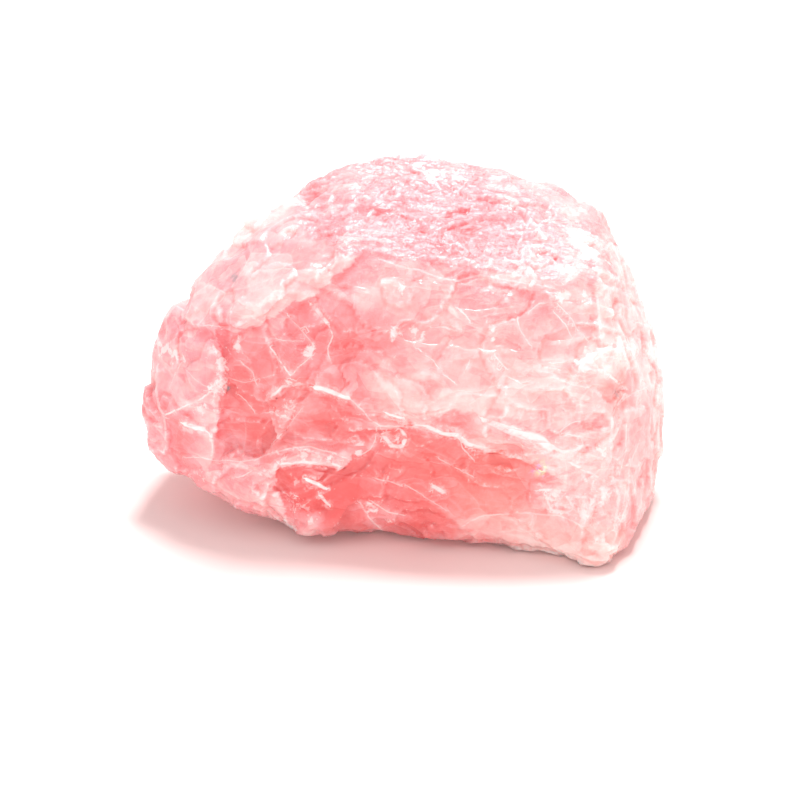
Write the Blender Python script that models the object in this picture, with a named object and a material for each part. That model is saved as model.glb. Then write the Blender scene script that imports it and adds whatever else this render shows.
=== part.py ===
"""A rough chunk of rose quartz, broken on every side and resting on its one flat cleaved face.

The stone is one solid, and it is put together the way such a lump is shaped: fracture blocks, each
the convex hull of its own corners, are joined into one body. Deep hollows are then cut out of it,
shallow conchoidal flakes are struck off its faces and ridges, and the broken faces are roughened.
The sole that it rests on stays flat.

Lengths are in millimetres until the end, X to the right, Y away from the front, Z up. The last
steps put the origin in the middle of the underside and turn the lengths into metres.
"""

import math

import bmesh
import bpy
import numpy as np
from mathutils import Matrix, Vector, noise

NAME = "rose_quartz_chunk"
METRES_PER_MM = 0.001
QUARTZ = {"Base Color": (0.90, 0.50, 0.48, 1.0), "Roughness": 0.42, "Metallic": 0.0}

# ---------------------------------------------------------------- the blocks' corners, in mm
CORE = {
    "crown": (4.5, 12, 52.5),
    "crown_left": (-8, 11, 51),
    "crown_far_left": (-14, 9.5, 48.6),
    "crown_right": (14, 12, 51),
    "crown_far_right": (25, 11, 47.5),
    "shoulder": (31.5, 9, 43.5),
    "brow_left": (-7.3, -10, 45.4),
    "brow": (3, -13, 43.6),
    "brow_right": (20.5, -15.5, 40),
    "brow_end": (30, -14, 40.7),
    "under_slab_left": (-26, -12, 33),
    "under_slab_right": (-16, -14, 40),
    "front_left": (-25.5, -14, 20),
    "waist_left": (-8.5, -19, 25),
    "waist_dip": (-1.4, -20.5, 21),
    "waist": (10.2, -22.8, 25.6),
    "waist_right": (23, -23.5, 21),
    "waist_end": (30.5, -22.3, 23),
    "rim_left": (-15, -16.5, 1.8),
    "rim_front": (-1.5, -18.5, 1.8),
    "rim_front_right": (13, -19.5, 1.8),
    "rim_right": (30, -22.4, 1.5),
    "rim_side": (39, -6.2, 1),
    "sole_left": (-13, -8, 0),
    "sole_front": (-1.5, -11, 0),
    "sole_front_right": (13, -12.5, 0),
    "sole_right": (27, -15, 0),
    "sole_side": (35.5, -3, 0),
    "sole_back_right": (33, 15, 0),
    "sole_back": (3, 21, 0),
    "sole_back_left": (-16, 14, 0),
    "heel_front": (-27, -11, 9),
    "heel_back": (-29, 9, 7),
    "rib_top": (36, -14, 22),
    "rib": (35.3, -15.5, 10.8),
    "side_top": (35.8, 6, 35),
    "side": (39.5, 3, 26),
    "side_bulge": (41, 1, 15),
    "side_low": (41, 0, 4),
    "back_top_right": (31, 17.5, 37),
    "back_top": (6, 23, 43),
    "back_top_left": (-21, 18, 39),
    "back_low_right": (36.5, 22, 7),
    "back_low": (2, 27.5, 7),
    "back_low_left": (-30, 16, 12),
}
LEFT_BLOCK = {
    "top": (-34.4, 1, 31.8),
    "top_left": (-37.2, -2, 28.4),
    "left": (-38.3, -4, 22.8),
    "crease_left": (-37, -8.5, 17.5),
    "crease_right": (-26.8, -15.2, 24),
    "top_right": (-28.2, -12.2, 33),
    "edge": (-27.2, -14.2, 29),
    "bulge": (-39.5, -4, 11.4),
    "bulge_low": (-38.6, -6, 8.8),
    "heel": (-35.5, -9, 7.2),
    "heel_right": (-28.8, -13.8, 12),
    "inner_low": (-24, -9, 7),
    "back_top": (-35, 11, 27),
    "back_low": (-36.5, 11, 11),
    "inner_top": (-20, 10, 33),
    "inner_back": (-20, 12, 9),
}
SHOULDER_SLAB = {
    "rim_left": (-32.8, -6.5, 32.6),
    "rim_tip": (-25.6, -15.4, 33.6),
    "rim_right": (-21, -17, 36.8),
    "rim_end": (-15, -16.5, 41.2),
    "rim_brow": (-8, -12.5, 45),
    "edge_left": (-31.5, 1, 34.5),
    "edge_top_left": (-27, 3, 41),
    "edge_top": (-24.2, 5, 44),
    "edge_crown": (-15.5, 8, 48.2),
    "seam": (-10.5, -2, 47),
    "inner_low": (-20, 6, 30),
    "inner_right": (-6, 4, 38),
}
FOOT_LEDGE = {
    "top_left": (-33.5, -11, 11.6),
    "top_mid": (-26, -16, 12.8),
    "lip_left": (-19, -18.4, 16),
    "lip": (-13, -19.6, 17),
    "lip_right": (-5, -19.2, 14.6),
    "toe_left": (-31.5, -11, 5.8),
    "toe_mid": (-26, -14, 4),
    "toe": (-16.5, -19.2, 2),
    "toe_right": (-10.5, -19, 2),
    "toe_under": (-14, -11, 0.6),
    "inner_left": (-24, -4, 9),
    "inner_right": (-4, -10, 8),
}
RIGHT_FOOT = {
    "toe": (31.3, -27.6, 1.2),
    "toe_left": (17, -21.5, 1.2),
    "top_left": (9, -18.8, 4.6),
    "top_mid": (21, -22.4, 6.4),
    "top": (28.5, -24.2, 8.5),
    "ankle": (31, -24.4, 12),
    "outer": (34.6, -20.6, 1.2),
    "outer_top": (35.4, -16, 10),
    "outer_back": (37.8, -10, 1),
    "sole_front": (28.5, -20.5, 0),
    "sole_left": (19, -15, 0),
    "sole_back": (34.5, -7, 0),
    "outer_back_top": (38.6, -7, 9),
    "inner": (14, -8, 3),
    "inner_top": (26, -10, 20),
}
BACK_SLAB = {
    "top_left": (-27, 17, 27),
    "top_right": (0, 27, 29),
    "tip": (-8, 27.5, 20),
    "low_left": (-29, 18, 15),
    "low_right": (5, 29, 9),
    "toe": (-10, 25.5, 6),
    "inner_left": (-18, 8, 20),
    "inner_right": (4, 10, 20),
}
BLOCKS = (CORE, LEFT_BLOCK, SHOULDER_SLAB, FOOT_LEDGE, RIGHT_FOOT, BACK_SLAB)

# The deep hollows: the middle of each squashed ball, its radii along X, Y and Z, in mm, then its
# turn about Z and its tilt about Y, in degrees.
HOLLOWS = {
    "under_lip": ((-9, -24.2, 8), (12, 6, 6.5), -8, 12),
    "under_waist": ((10, -29, 15), (20, 9.5, 9.5), -6, 7),
    "under_waist_left": ((-15, -23, 19.6), (14, 6.4, 5), 8, 16),
    "side_notch": ((34, -20.5, 25), (2.6, 5, 4.5), 25, 0),
    "back_dish": ((20, 33.5, 30), (14, 10, 9), 15, 0),
}

# ---------------------------------------------------------------- the broken surface, in mm
GRAIN = 0.5  # the mesh while the surface is worked
SOLE_SKIN = 0.25  # what lies lower than this is the flat sole
SEED = 11
# Flakes struck off: how many are tried, the hollow's radius, the depth of its bite, and its stretch.
FACE_FLAKES = {
    "broad": (70, (30, 70), (0.25, 0.6), (1.0, 1.8)),
    "small": (150, (12, 30), (0.2, 0.45), (1.0, 2.2)),
}
RIDGE_FLAKES = {"chip": (420, (4, 12), (0.2, 0.6), (1.0, 2.2))}
DEEPEST = 1.8  # a flake is left where it would go this many times deeper than its bite
RIDGE_ANGLE = math.radians(20)  # an edge bent more than this is a ridge
ROUGHNESS = ((9.0, 0.30), (3.5, 0.12))  # each wave's length and height
SOLID_TRIANGLES = 9400


def object_of(bm):
    """An object that holds this bmesh, which is freed."""
    mesh = bpy.data.meshes.new(NAME)
    bm.to_mesh(mesh)
    bm.free()
    made = bpy.data.objects.new(NAME, mesh)
    bpy.context.scene.collection.objects.link(made)
    return made


def fracture_block(corners):
    """The convex hull of a block's corners."""
    bm = bmesh.new()
    for corner in corners.values():
        bm.verts.new(corner)
    hull = bmesh.ops.convex_hull(bm, input=bm.verts)
    spare = [v for v in hull["geom_interior"] + hull["geom_unused"] if isinstance(v, bmesh.types.BMVert)]
    bmesh.ops.delete(bm, geom=list(set(spare)), context="VERTS")
    bmesh.ops.recalc_face_normals(bm, faces=bm.faces)
    return object_of(bm)


def hollow(middle, radii, turn, tilt):
    """The squashed, flat-sided ball that a deep hollow is cut with."""
    bm = bmesh.new()
    bmesh.ops.create_icosphere(bm, subdivisions=1, radius=1)
    turned = Matrix.Rotation(math.radians(turn), 4, "Z") @ Matrix.Rotation(math.radians(tilt), 4, "Y")
    bm.transform(Matrix.Translation(middle) @ turned @ Matrix.Diagonal((*radii, 1)))
    return object_of(bm)


def apply_modifier(stone, kind, **settings):
    """Gives the stone the mesh that one modifier makes of it."""
    modifier = stone.modifiers.new(kind, kind)
    for setting, value in settings.items():
        setattr(modifier, setting, value)
    evaluated = stone.evaluated_get(bpy.context.evaluated_depsgraph_get())
    made = bpy.data.meshes.new_from_object(evaluated)
    stone.modifiers.clear()
    stone.data = made


def combine(stone, other, operation):
    """Joins the stone with another object, or cuts it with one, and uses that one up."""
    apply_modifier(stone, "BOOLEAN", operation=operation, object=other)
    bpy.data.objects.remove(other)


def read_points(bm):
    return np.array([v.co for v in bm.verts])


def write_points(bm, points):
    for vert, point in zip(bm.verts, points):
        vert.co = point
    bm.normal_update()


def strike_flake(points, place, outward, spin, radius, bite, stretch):
    """Pushes what lies inside a stretched ball onto its wall: the hollow of a flake struck off."""
    across = outward.orthogonal().normalized()
    turned = Matrix.Rotation(spin, 3, outward) @ Matrix((across, outward.cross(across), outward)).transposed()
    axes = np.array(turned) * np.array((radius * stretch, radius, radius))
    middle = np.array(place + outward * (radius - bite))
    local = (points - middle) @ np.linalg.inv(axes).T
    reach = np.linalg.norm(local, axis=1)
    if reach.min() < 1 - DEEPEST * bite / radius:
        return
    struck = reach < 1
    points[struck] = middle + (local[struck] / reach[struck, None]) @ axes.T


def strike_flakes(bm, rng, sites, kinds):
    """Strikes every kind of flake at random among the sites, each a point and its outward direction."""
    points = read_points(bm)
    on_sole = points[:, 2] < SOLE_SKIN
    for count, radii, bites, stretches in kinds.values():
        for site in rng.choice(len(sites), count):
            place, outward = sites[site]
            lean = Vector(rng.normal(0, 0.2, 3))
            strike_flake(
                points,
                place,
                (outward + lean).normalized(),
                rng.uniform(0, math.tau),
                rng.uniform(*radii),
                rng.uniform(*bites),
                rng.uniform(*stretches),
            )
    points[on_sole, 2] = 0
    write_points(bm, points)


def face_sites(bm):
    """Points spread over the faces, leaving out the sole."""
    return [(f.calc_center_median(), f.normal.copy()) for f in bm.faces if f.normal.z > -0.8]


def ridge_sites(bm):
    """Points along the outward ridges."""
    sites = []
    for edge in bm.edges:
        ends = [v.co for v in edge.verts]
        if edge.calc_face_angle_signed() > RIDGE_ANGLE and max(end.z for end in ends) > SOLE_SKIN:
            outward = (edge.link_faces[0].normal + edge.link_faces[1].normal).normalized()
            sites.append(((ends[0] + ends[1]) / 2, outward))
    return sites


def roughen(bm):
    """Waves the broken faces in and out a little."""
    for vert in bm.verts:
        if vert.co.z > SOLE_SKIN:
            height = sum(high * noise.noise(vert.co / long) for long, high in ROUGHNESS)
            vert.co += vert.normal * height
    bm.normal_update()


def flatten_sole(bm):
    for vert in bm.verts:
        if vert.co.z < SOLE_SKIN:
            vert.co.z = 0
    bm.normal_update()


def work_surface(stone):
    """Strikes flakes off the faces and ridges, then roughens them."""
    rng = np.random.default_rng(SEED)
    apply_modifier(stone, "REMESH", mode="VOXEL", voxel_size=GRAIN)
    apply_modifier(stone, "SMOOTH", factor=0.5, iterations=3)
    bm = bmesh.new()
    bm.from_mesh(stone.data)
    flatten_sole(bm)
    strike_flakes(bm, rng, face_sites(bm), FACE_FLAKES)
    strike_flakes(bm, rng, ridge_sites(bm), RIDGE_FLAKES)
    roughen(bm)
    bmesh.ops.triangulate(bm, faces=bm.faces)
    bm.to_mesh(stone.data)
    bm.free()


def quartz():
    """The stone's one material."""
    material = bpy.data.materials.new("rose_quartz")
    material.use_nodes = True
    shader = material.node_tree.nodes["Principled BSDF"]
    for socket, value in QUARTZ.items():
        shader.inputs[socket].default_value = value
    return material


def place_on_origin(stone):
    """Puts the origin in the middle of the underside, and the lengths into metres."""
    points = np.array([v.co for v in stone.data.vertices])
    middle = (points.min(axis=0) + points.max(axis=0)) / 2
    underside = Vector((middle[0], middle[1], points[:, 2].min()))
    stone.data.transform(Matrix.Scale(METRES_PER_MM, 4) @ Matrix.Translation(-underside))


def main():
    for old in list(bpy.data.objects):
        bpy.data.objects.remove(old)
    stone = fracture_block(BLOCKS[0])
    for corners in BLOCKS[1:]:
        combine(stone, fracture_block(corners), "UNION")
    for measures in HOLLOWS.values():
        combine(stone, hollow(*measures), "DIFFERENCE")
    work_surface(stone)
    apply_modifier(stone, "DECIMATE", ratio=SOLID_TRIANGLES / len(stone.data.polygons))
    place_on_origin(stone)
    stone.data.materials.append(quartz())


main()
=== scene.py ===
"""The looks of a rough chunk of rose quartz: its broken surface, its zones and its light.

The stone is one piece. It starts as the plain solid's own shape in a fine even mesh. Ledges are
broken along named lines, flakes are struck off, and the faces are streaked and hackled. Each point
also keeps how pink, warm and bruised the quartz is there, and one material reads that.

Everything about the stone's surface is in millimetres until its mesh is done. The material and the
studio are in metres.
"""

import math

import bmesh
import bpy
import numpy as np
from mathutils import Matrix, Vector, kdtree, noise

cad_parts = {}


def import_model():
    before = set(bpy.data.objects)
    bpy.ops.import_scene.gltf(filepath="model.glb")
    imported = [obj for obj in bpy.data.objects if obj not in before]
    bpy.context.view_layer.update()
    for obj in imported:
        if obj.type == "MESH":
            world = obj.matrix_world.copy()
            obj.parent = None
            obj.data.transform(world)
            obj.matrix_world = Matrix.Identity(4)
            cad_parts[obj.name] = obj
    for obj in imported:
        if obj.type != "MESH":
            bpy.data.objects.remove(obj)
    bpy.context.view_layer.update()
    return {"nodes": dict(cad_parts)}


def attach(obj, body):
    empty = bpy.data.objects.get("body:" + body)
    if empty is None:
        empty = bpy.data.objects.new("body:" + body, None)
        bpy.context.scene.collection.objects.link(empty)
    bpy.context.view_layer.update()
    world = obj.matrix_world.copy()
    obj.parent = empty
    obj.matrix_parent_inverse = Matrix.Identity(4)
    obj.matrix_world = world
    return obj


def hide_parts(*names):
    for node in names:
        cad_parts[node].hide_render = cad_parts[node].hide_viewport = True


SOLID = "rose_quartz_chunk"
METRES_PER_MM = 0.001
MM_PER_METRE = 1000
SEED = 5

# ------------------------ the eye
LENS = 100
SENSOR = 36
DISTANCE = 345  # from the eye to the aim, in mm
ELEVATION = math.radians(24)
AIM = np.array((-0.75, -1.03, 16.0))
RIGHT = np.array((1.0, 0.0, 0.0))
INTO = np.array((0.0, math.cos(ELEVATION), -math.sin(ELEVATION)))
UP = np.array((0.0, math.sin(ELEVATION), math.cos(ELEVATION)))
EYE = AIM - INTO * DISTANCE

# ------------------------ the broken surface, in mm
GRAIN = 0.445  # the even mesh's spacing
SOLE_SKIN = 0.3  # what starts lower than this is the sole, which stays flat
SWELL = 0.55  # makes up for what the smoothing and the breaking take off

# Places on the front are given in the plane that faces the eye: right and up from the aim.
# A ledge breaks down along its line, on the line's right as it runs, or on its left if its depth is
# below 0. Each ledge has its depth, how far it fades out, how pink the quartz is on its left and on
# its right, and the points of its line.
LEDGES = {
    "slab_rim": (1.3, 5, 0.26, 0.62, (
        (-32.5, 12.4), (-27.5, 11.3), (-26, 10.7), (-24, 11.4), (-20.9, 12.7), (-18.2, 13.6),
        (-17.1, 15.5), (-13.6, 16.1), (-12, 17.4), (-10.1, 19), (-8.1, 20.9),
    )),
    "block_edge": (-1.1, 5, 0.8, 0.35, (
        (-28, 11.2), (-28.3, 8.1), (-27.3, 3.9), (-27.5, 1.2), (-28.1, -2.3), (-29, -5.4),
        (-29.1, -8.1),
    )),
    "waist_left": (1.1, 5, 0.62, 0.72, (
        (-19.8, 0.6), (-17.1, 2.7), (-13.2, 1.9), (-10.1, 1), (-7.8, 0.1), (-5.8, -1.6),
        (-4.7, -2.9), (-3.1, -3.9),
    )),
    "waist_mid": (1.3, 6, 0.42, 0.86, (
        (-3.1, -4.2), (0.8, -3.9), (4.3, -4.3), (6.6, -5.2), (8.9, -5.4), (10.5, -6.8),
        (13.6, -7.8), (17.1, -8.5), (20.1, -9.7),
    )),
    "waist_right": (0.8, 3.5, 0.22, 0.46, (
        (4.7, -3.5), (7.4, -1.9), (11.2, -1.5), (15.5, -2.1), (18.6, -2.9), (20.9, -4.8), (24, -5),
        (26.7, -3.5), (30.4, -2.9),
    )),
    "corner_edge": (0.5, 3.5, 0.2, 0.44, (
        (25.3, 27.4), (27.9, 23.3), (30.2, 20.6), (30.5, 17.1), (30.7, 12.4), (31, 9.3),
    )),
    "foot_lip": (1.5, 5, 0.3, 0.95, (
        (-18.6, -15.5), (-19.4, -13.2), (-19.1, -11.2), (-18.2, -9.9), (-15.5, -9.6), (-13.2, -9.8),
        (-9.7, -10.2), (-7.8, -9.1),
    )),
}

# Pits where ledges meet, which are evened out: each one's middle and reach.
PITS = {
    "block_corner": ((-27.6, 10.3), 1.8),
    "lip_start": ((-17.8, -7.3), 1.6),
    "block_foot": ((-28.8, -7.5), 1.6),
    "lip_fold": ((-21.4, -8.2), 2.2),
    "lip_fold_high": ((-19.7, -4.8), 2.4),
    "crack_pit": ((-17.8, 11.7), 2.2),
    "ring_pit": ((24.1, -8), 1.5),
}

# Fine pale lines on the front, along cracked places and edges, and painted highlights where a line
# is a glint or a flash: half the width, the strength and the points of each.
MARKS = {
    "block_crease": (0.16, 0.9, ((-36.8, -2.5), (-34.1, -1.4), (-31, 0.2), (-28.7, 1.7))),
    # The flash is a painted highlight, a glint of the lamps.
    "block_flash": (0.42, 1, ((-33.4, -3.8), (-32, -4.3), (-30.4, -4.5))),
    "block_flash_end": (0.15, 0.8, ((-30.4, -4.5), (-29.6, -5.2), (-29.3, -6.2))),
    "block_foot_edge": (0.12, 0.6, ((-29.1, -5.4), (-29, -8.1))),
    "block_scratch": (0.1, 0.5, ((-33.9, 6), (-34.9, 4.3), (-35.7, 2.1))),
    "block_vein": (0.1, 0.4, ((-32.9, 4.3), (-30.6, 2.3), (-28.7, 1.6))),
    "block_left": (0.18, 0.5, (
        (-37.7, 9.7), (-37.5, 6.6), (-37.9, 2.7), (-37.5, -1.2), (-36.7, -2.6), (-36.4, -6.2),
    )),
    "block_top": (0.12, 0.6, ((-32.5, 12.2), (-32.1, 11.7), (-28, 11.4))),
    "v_left": (0.13, 0.9, ((-20.1, 8.1), (-19, 6.2), (-16.9, 3.7))),
    "v_right": (0.1, 0.6, ((-16.9, 3.7), (-15.5, 5.3), (-13.6, 7))),
    "crack_top": (0.1, 0.6, ((-20, 9.6), (-17.8, 9.2), (-15.5, 9.3))),
    "crack_arc": (0.34, 0.9, ((-13.6, 14.7), (-12.2, 13.3), (-11.2, 11.8))),
    "crack_arc_tail": (0.12, 0.6, ((-11.2, 11.8), (-10.4, 10.1), (-11.2, 8.1), (-10.8, 6.2))),
    "crack_hook": (0.1, 0.6, ((-15.6, 11.3), (-14.6, 11.5), (-14.1, 10.7))),
    "crack_fine": (0.1, 0.5, ((-17.4, 13.2), (-15.5, 11.2), (-13.6, 8.9))),
    "scratch_a": (0.1, 0.45, ((-24.6, 6), (-22.8, 4.3), (-22.2, 2.1))),
    "scratch_b": (0.1, 0.5, ((-25, 0.9), (-23.8, 0), (-22.7, -1.6))),
    "scratch_c": (0.1, 0.35, ((-26.9, 3.5), (-24, 2.7), (-19.4, 3.9))),
    "waist_left": (0.36, 1, ((-13.2, 1.9), (-11.4, 1.5), (-7.9, 0.2))),
    "waist_crumbs": (0.25, 0.7, ((-19.6, 0.8), (-18.2, 2.1), (-15.5, 2.5))),
    "waist_dip": (0.12, 0.5, ((-7.9, 0.2), (-5.8, -1.6), (-4.7, -2.9), (-3.1, -3.9), (0.8, -4.1))),
    # A painted highlight, a glint of the lamps.
    "glint_middle": (0.22, 1, ((-2, -2.1), (-1, -2.4), (0.1, -2.8))),
    "swirl": (0.34, 0.9, ((-2.6, -5.2), (-1.2, -7), (0.2, -7.2), (0.8, -5.8), (0.2, -4.7))),
    "facet_left": (0.12, 0.6, ((-3.5, -4.3), (-3.7, -6.3), (-4.7, -7.8), (-6.7, -8.9))),
    "lip_top": (0.14, 0.6, (
        (-22.7, -9.5), (-20.9, -8.5), (-17.1, -7.4), (-13.9, -7.1), (-10.8, -8.1), (-8.1, -9.1),
    )),
    "lip_low": (0.26, 0.8, ((-18.2, -9.9), (-15.5, -9.6), (-13.2, -9.8), (-9.7, -10.2))),
    "ledge_top": (0.1, 0.5, (
        (-33.3, -9), (-31, -8.8), (-28.3, -9.4), (-24.8, -9.5), (-22.7, -9.3),
    )),
    # These two are painted highlights, glints of the lamps.
    "glint_hollow_a": (0.3, 1, ((-14.4, -12.3), (-13.2, -12.7), (-11.7, -13.6))),
    "glint_hollow_b": (0.24, 0.9, ((-11.2, -16.3), (-12.3, -15))),
    "ledge_step": (0.12, 0.6, ((-26.2, -12.2), (-24.8, -12.1), (-23.2, -11.2))),
    "feather_c": (0.12, 0.5, ((-20.9, -2), (-19.8, -1.9), (-18.6, -2.7), (-17.1, -2.8))),
    "feather_d": (0.1, 0.5, ((-15.5, -1.6), (-17.1, -3.9), (-19.8, -6.8))),
    "patch_edge": (0.14, 0.6, ((-6.2, -16.1), (-4.8, -18.2), (-3.1, -19.8))),
    "patch_vein": (0.12, 0.6, ((-4.3, -15.8), (-1.9, -17.4), (0.4, -17.9))),
    "low_vein": (0.12, 0.5, ((-3.9, -12.2), (-1.6, -12.6), (0.4, -13.4))),
    "waist_mid": (0.32, 0.9, (
        (2.3, -4.2), (4.3, -4.3), (6.6, -5.2), (8.9, -5.4), (10.5, -6.8), (13.6, -7.8),
    )),
    "waist_mid_fork": (0.12, 0.6, ((8.9, -5.4), (9.8, -7.4), (11.3, -9.1))),
    "blade": (0.75, 1, ((17.1, -4.5), (19.4, -5.4), (21.7, -6.2), (23.2, -7.3))),
    "blade_start": (0.35, 0.8, ((12.9, -2.9), (14.7, -3.6), (17.1, -4.5))),
    "blade_under": (0.2, 0.6, ((13.9, -3.6), (16.3, -5), (20.1, -6.4))),
    "ring_low": (0.28, 0.9, ((23.6, -7), (25, -8), (26.9, -7.9), (28.5, -7.1))),
    "ring_top": (0.12, 0.6, ((24.9, -5.7), (26.4, -5.3), (28.1, -6), (28.5, -7.1))),
    "waist_right": (0.12, 0.6, ((24.8, -4.9), (26.7, -3.5), (30.4, -2.9))),
    "deep_line": (0.1, 0.5, ((6, -9.1), (8.5, -10.4), (11.3, -11.9))),
    # A painted highlight, a glint of the lamps.
    "deep_glint": (0.32, 0.9, ((5.3, -13.5), (6.7, -14.4))),
    "deep_scratch": (0.1, 0.4, ((0.8, -13.2), (3.9, -15.1), (7.1, -17.1))),
    "facet_a": (0.24, 0.8, ((21.7, -14), (24, -13.9), (25.8, -14.9), (29.1, -15.1))),
    "facet_b": (0.22, 0.7, ((26.7, -9.9), (29.4, -11.2), (32.7, -13))),
    "facet_c": (0.2, 0.7, ((22.7, -15.1), (23.6, -17.1), (26, -17.4))),
    "facet_d": (0.2, 0.6, ((26, -15.1), (27.5, -17.4), (29.8, -18.2))),
    "foot_crest": (0.14, 0.5, (
        (9.7, -19.6), (12.4, -17.9), (20.1, -17.6), (24.8, -17.9), (27.9, -19.4),
    )),
    "rib_left": (0.26, 0.6, (
        (33.3, -1.2), (32.7, -6.2), (33.1, -11.6), (34.1, -15.1), (33.3, -19.4),
    )),
    "rib_mid": (0.12, 0.5, ((35.1, -3.9), (35.1, -7.8), (34.1, -11.6))),
    "rib_right": (0.14, 0.5, ((37.2, -6.2), (35.6, -10.8), (35.6, -15.5), (34.1, -19.4))),
    "notch_edge": (0.2, 0.9, ((32.5, 4.1), (33.8, 2.7), (35.3, 1.6))),
    # A painted highlight, a glint of the lamps.
    "notch_glint": (0.16, 0.8, ((33.3, -1.2), (34.5, 0.3), (35.3, 1.6))),
    "notch_top": (0.12, 0.6, ((31.7, 6.6), (33.3, 6.8), (35.1, 6.2))),
    "face_edge": (0.12, 0.5, ((33.3, -1.2), (35.6, 0.8), (38, 1.9))),
    "long_arc": (0.11, 0.7, ((2.7, 7.8), (5, 6.2), (6.6, 4), (8.5, 2.7))),
    "brow": (0.16, 0.45, ((-3.1, 21.7), (-0.8, 20.9), (3.1, 20.1), (6.2, 19), (8.9, 18.5))),
    "brow_right": (0.16, 0.45, ((8.9, 18.5), (12.4, 19.4), (16.3, 18.6), (20.1, 18.1), (24, 17.4))),
    "stroke_a": (0.14, 0.8, ((9, 14.3), (9.9, 13.6), (10.8, 12.3))),
    "stroke_b": (0.14, 0.8, ((10.3, 4.8), (10.8, 5.8))),
    "stroke_c": (0.14, 0.7, ((13.9, 6), (15.3, 4.8))),
    "stroke_d": (0.14, 0.8, ((14.9, 6.7), (16.7, 4.8))),
    "stroke_e": (0.12, 0.7, ((24, 13.6), (25.8, 11.8), (26.5, 10.3))),
    "stroke_f": (0.12, 0.7, ((24.6, 14.9), (26.4, 13.2), (27.9, 10.5), (29.1, 9.3))),
    "stroke_g": (0.12, 0.6, ((23.6, 5.7), (26, 6.1))),
    "stroke_h": (0.14, 0.7, ((18, 13.2), (18.6, 10.8), (20.1, 8.5))),
    "stroke_i": (0.12, 0.6, ((20.1, 13.6), (21.7, 14.9), (23.6, 15.1))),
    "stroke_j": (0.12, 0.6, ((16.3, 3.9), (18.6, 2.5), (19.8, 2.8))),
    "stroke_k": (0.12, 0.6, ((4.8, 11.4), (6.6, 11.4), (8.3, 11))),
    "corner": (0.2, 0.5, ((30.7, 15.5), (31.2, 11.6), (31.4, 7), (32, 3.9))),
    "side_lip": (0.14, 0.5, ((35.6, 12.4), (37.6, 11.8), (38.9, 11.4))),
}

# Spots on the front, each with its middle, its reach and its strength: crumbled quartz that looks
# white, with painted highlights among them where the bubbles and glints are, and grey smudges and
# specks, with painted shade in the notch.
WHITES = {
    "block_crumbs_high": ((-29.1, 7.9), 1.3, 0.75),
    "block_crumbs_middle": ((-27.8, 5.3), 1.4, 0.8),
    "block_crumbs_low": ((-28.2, 2.1), 1.8, 0.85),
    "block_crumbs_foot": ((-30.6, -1.4), 1.8, 0.6),
    # The bubbles are painted highlights, glints of the lamps on glossy breaks.
    "bubble_left": ((-36.7, 8), 0.9, 1),
    "bubble_right": ((-35.1, 7), 1, 1),
    "bubble_low": ((-33.6, 6.4), 0.6, 0.7),
    # These two are painted highlights, glints of the lamps.
    "rim_glints": ((-25.5, 8.6), 1.3, 0.85),
    "crack_glint": ((-13.9, 7.6), 1.2, 1),
    "waist_crumbs": ((-17.1, 2.4), 1.3, 0.6),
    "swirl": ((-0.7, -6.2), 1.3, 0.7),
    "facet_crumbs": ((-6, -8.2), 0.9, 0.8),
    "lip": ((-15.1, -8.4), 1.4, 0.7),
    "lip_left": ((-18.6, -8.9), 1.5, 0.55),
    "lip_right": ((-10.8, -9.1), 1.3, 0.65),
    "ledge_shoulder": ((-21.3, -11.6), 1.8, 0.4),
    "ledge_low": ((-16.7, -16.7), 2, 0.5),
    "ledge_tip": ((-13.6, -18.6), 1.3, 0.7),
    "ledge_toe": ((-17.1, -19.6), 1.3, 0.8),
    "ledge_end": ((-30.6, -11.6), 2.2, 0.45),
    "low_patch": ((-4.5, -16.9), 1.5, 0.75),
    "low_patch_tail": ((-1.7, -18.1), 1.4, 0.55),
    "low_wisp": ((-1.9, -12.8), 1.2, 0.5),
    "feather": ((-17.8, -1.6), 1.9, 0.5),
    "snow_corner": ((27.5, 25.4), 2, 0.9),
    "snow_corner_low": ((29.4, 22.9), 2, 0.9),
    "snow_brow": ((25.4, 16), 1.8, 0.85),
    "snow_brow_left": ((20.6, 18.1), 1.2, 0.75),
    "snow_brow_right": ((28.7, 15.5), 1.5, 0.6),
    "patch_middle": ((-0.8, 10.8), 1.5, 0.65),
    "patch_middle_right": ((2.3, 10.3), 1.7, 0.65),
    "brow_white": ((0.4, 17.1), 1.5, 0.6),
    # These two are painted highlights, glints of the lamps.
    "front_glint_a": ((14.3, 11.4), 0.7, 0.9),
    "front_glint_b": ((13.9, 9.3), 0.6, 0.8),
    "right_white": ((29.3, 5.8), 2, 0.85),
    "right_white_low": ((27.9, 3.1), 2, 0.6),
    "side_white": ((35.3, 8.1), 2.6, 0.8),
    "side_white_far": ((38.9, 7.4), 2.4, 0.8),
    "facets": ((24, -15.1), 1.8, 0.75),
    "facets_right": ((28.7, -16.7), 2.4, 0.8),
    "facets_top": ((29.8, -12.4), 2, 0.6),
    "facets_edge": ((31.4, -14.7), 1.5, 0.7),
    # A painted highlight, a glint of the lamps.
    "ring_glint": ((31.4, -7.9), 0.9, 0.8),
    "crown": ((9.7, 36), 3, 0.3),
    "crown_right": ((21.7, 32.9), 3, 0.35),
    "crown_left": ((-1.6, 35.3), 2.4, 0.45),
    "crest": ((-15.5, 30.8), 2.4, 0.5),
    "crest_left": ((-21.7, 28.7), 2.2, 0.5),
    "crest_right": ((-7.8, 24.8), 2, 0.5),
    "slab_stroke": ((-17.1, 26.4), 1.8, 0.5),
}
# Where a small crack inside splits the light into colours.
RAINBOWS = {
    "under_right": ((21.9, -10.7), 1.1, 1),
}
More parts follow.
